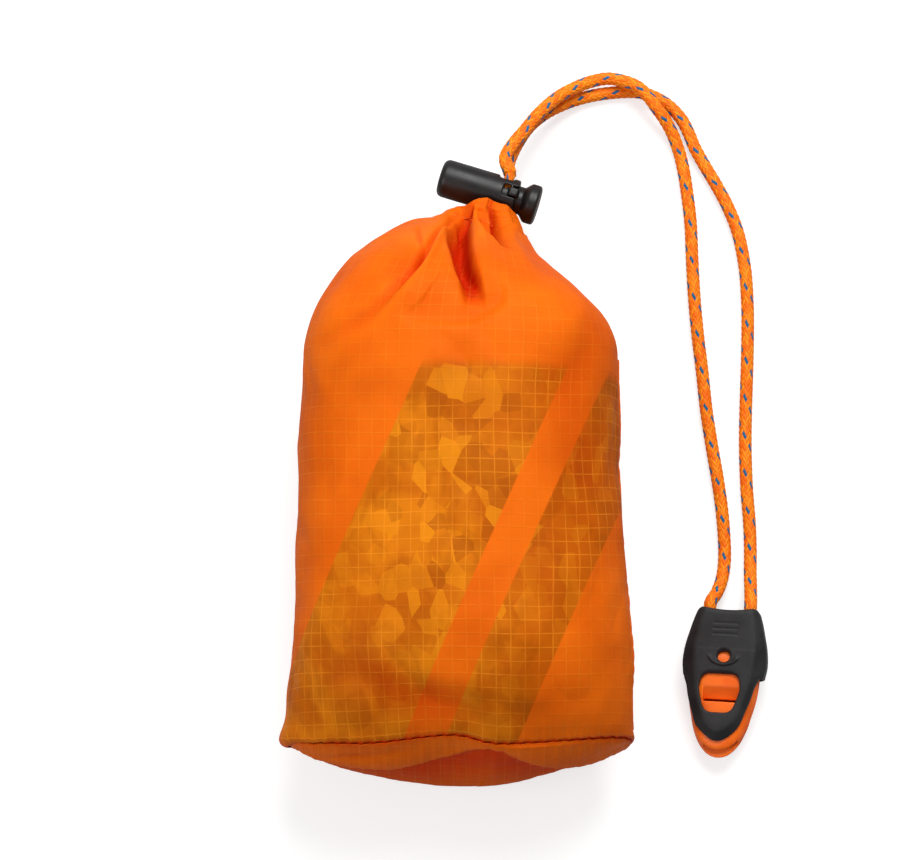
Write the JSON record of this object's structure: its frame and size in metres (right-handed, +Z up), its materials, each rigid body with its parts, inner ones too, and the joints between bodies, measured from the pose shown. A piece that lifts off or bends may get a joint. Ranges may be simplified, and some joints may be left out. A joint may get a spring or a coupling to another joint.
{
  "type": "emergency sleeping bag",
  "caption": "Emergency sleeping bag rolled in an orange ripstop stuff sack, with a drawcord, a spring cord lock and a flat rescue whistle.",
  "frame": {"origin": "on the floor under the middle of the sack, where its flat underside rests", "axes": "+Y along the sack towards its mouth, +Z up from the floor, +X towards the side seam and the whistle"},
  "size_m": [0.1123, 0.1719, 0.054],
  "materials": {
    "ripstop_fabric": "thin translucent ripstop nylon, satin",
    "metallised_foil": "metallised plastic film, creased",
    "braided_cord": "braided polyester with one blue tracer",
    "black_plastic": "satin moulded",
    "black_rubber": "matt moulded",
    "orange_plastic": "smooth moulded",
    "spring_steel": "drawn wire"
  },
  "bodies": {
    "stuff_sack": {"sack_body": "ripstop_fabric", "sack_bottom_panel": "ripstop_fabric", "sack_bottom_seam": "ripstop_fabric", "sack_side_seam": "ripstop_fabric", "sleeping_bag_roll": "metallised_foil", "drawcord_channel": "ripstop_fabric", "drawcord_channel_loop": "braided_cord", "drawcord_strand_left": "braided_cord", "drawcord_strand_right": "braided_cord"},
    "cord_lock": {"cord_lock_barrel": "black_plastic", "cord_lock_spring": "spring_steel"},
    "lock_button": {"cord_lock_plunger": "black_plastic"},
    "whistle": {"whistle_cover": "black_rubber", "whistle_upper_shell": "orange_plastic", "whistle_lower_shell": "orange_plastic", "cord_knot_left": "braided_cord", "cord_knot_right": "braided_cord"}
  },
  "joints": [
    {"name": "lock_slide", "type": "slide", "parent": "stuff_sack", "child": "cord_lock", "axis": [0.2974, 0.9548, 0], "range_m": [0, 0.005], "deforming": ["drawcord_strand_left", "drawcord_strand_right"]},
    {"name": "button_press", "type": "slide", "parent": "cord_lock", "child": "lock_button", "axis": [-0.9548, 0.2974, 0], "range_m": [0, 0.0012], "stiffness_N_per_m": 500, "springref_m": -0.004, "deforming": ["cord_lock_spring", "drawcord_strand_left", "drawcord_strand_right"]},
    {"name": "whistle_swing", "type": "hinge", "parent": "stuff_sack", "child": "whistle", "pos_m": [0.064, -0.002, 0.002], "axis": [-0.9966, 0.0828, 0], "range_deg": [0, 90], "deforming": ["drawcord_strand_left", "drawcord_strand_right"]}
  ]
}
